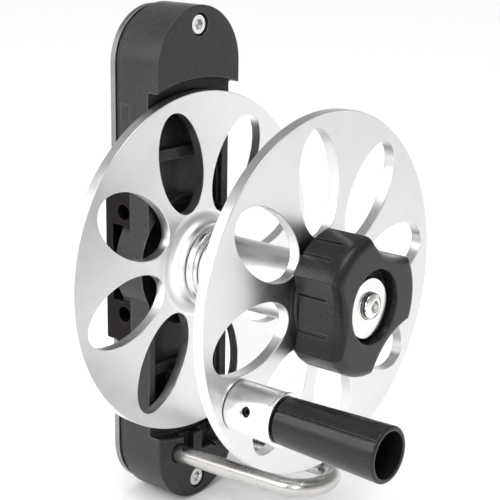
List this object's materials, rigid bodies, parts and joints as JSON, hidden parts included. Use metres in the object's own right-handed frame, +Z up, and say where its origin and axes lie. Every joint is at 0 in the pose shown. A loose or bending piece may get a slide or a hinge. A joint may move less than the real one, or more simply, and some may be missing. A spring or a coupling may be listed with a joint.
{
  "type": "hand line reel",
  "caption": "Hand-cranked line reel: two pierced metal discs on a drum, a moulded back, a three-lobed drag knob, a crank grip and a bent-rod line guide.",
  "frame": {"origin": "on the spool's axis, in the plane of the saddle's rear face", "axes": "+Z up along the long back, +Y to the rear along the spool's axis, front towards -Y, +X to the right seen from the front"},
  "size_m": [0.15, 0.1706, 0.2218],
  "materials": {
    "moulded_black": "fine moulded texture with a soft sheen",
    "saddle_black": "matt, slightly brown",
    "disc_aluminium": "fine turned brushing",
    "plate_aluminium": "grey, bead blasted",
    "stainless_steel": "polished stainless",
    "bronze": "sintered bearing bronze",
    "brass": "turned",
    "friction_fibre": "matt fibre"
  },
  "bodies": {
    "frame": {"body_frame": "moulded_black", "saddle": "saddle_black", "upper_back_plate": "plate_aluminium", "lower_back_plate": "plate_aluminium", "upper_clinch_nut": "stainless_steel", "lower_clinch_nut": "stainless_steel", "upper_block_screw": "stainless_steel", "lower_block_screw": "stainless_steel", "saddle_screw_1": "stainless_steel", "saddle_screw_2": "stainless_steel", "saddle_screw_3": "stainless_steel", "saddle_screw_4": "stainless_steel", "axle": "stainless_steel", "axle_nut": "stainless_steel", "thrust_washer": "bronze", "line_guide": "stainless_steel", "guide_grub_screw_1": "stainless_steel", "guide_grub_screw_2": "stainless_steel", "knob_washer": "stainless_steel", "knob_screw": "stainless_steel"},
    "spool": {"rear_disc": "disc_aluminium", "front_disc": "disc_aluminium", "drum": "stainless_steel", "hub_flange": "disc_aluminium", "hub_collar": "disc_aluminium", "retaining_ring": "stainless_steel", "rear_bush": "bronze", "front_bush": "bronze", "hub_screw_1": "stainless_steel", "hub_screw_2": "stainless_steel", "hub_screw_3": "stainless_steel", "hub_screw_4": "stainless_steel", "drum_screw_1": "stainless_steel", "drum_screw_2": "stainless_steel", "drum_screw_3": "stainless_steel", "drum_screw_4": "stainless_steel", "drag_washer": "friction_fibre", "crank_ferrule": "disc_aluminium", "ferrule_grub_screw": "stainless_steel", "grip_spindle": "stainless_steel", "grip_end_washer": "stainless_steel", "grip_end_screw": "stainless_steel"},
    "grip": {"crank_grip": "moulded_black"},
    "drag_plate": {"pressure_plate": "stainless_steel", "spring_washer_1": "stainless_steel", "spring_washer_2": "stainless_steel"},
    "knob": {"drag_knob": "moulded_black", "knob_insert": "brass"}
  },
  "joints": [
    {"name": "spool_spin", "type": "hinge", "parent": "frame", "child": "spool", "pos_m": [0, -0.0634, 0], "axis": [0, -1, 0], "continuous": true},
    {"name": "grip_spin", "type": "hinge", "parent": "spool", "child": "grip", "pos_m": [-0.0538, -0.1474, -0.0316], "axis": [0, -1, 0], "continuous": true},
    {"name": "drag_travel", "type": "slide", "parent": "frame", "child": "drag_plate", "axis": [0, -1, 0], "range_m": [0, 0.00113]},
    {"name": "knob_turn", "type": "hinge", "parent": "drag_plate", "child": "knob", "pos_m": [0, -0.1154, 0], "axis": [0, -1, 0], "range_deg": [0, 270]}
  ],
  "couplings": [
    {"joint": "drag_travel", "follows": "knob_turn", "m_per_rad": 0.00023873}
  ]
}
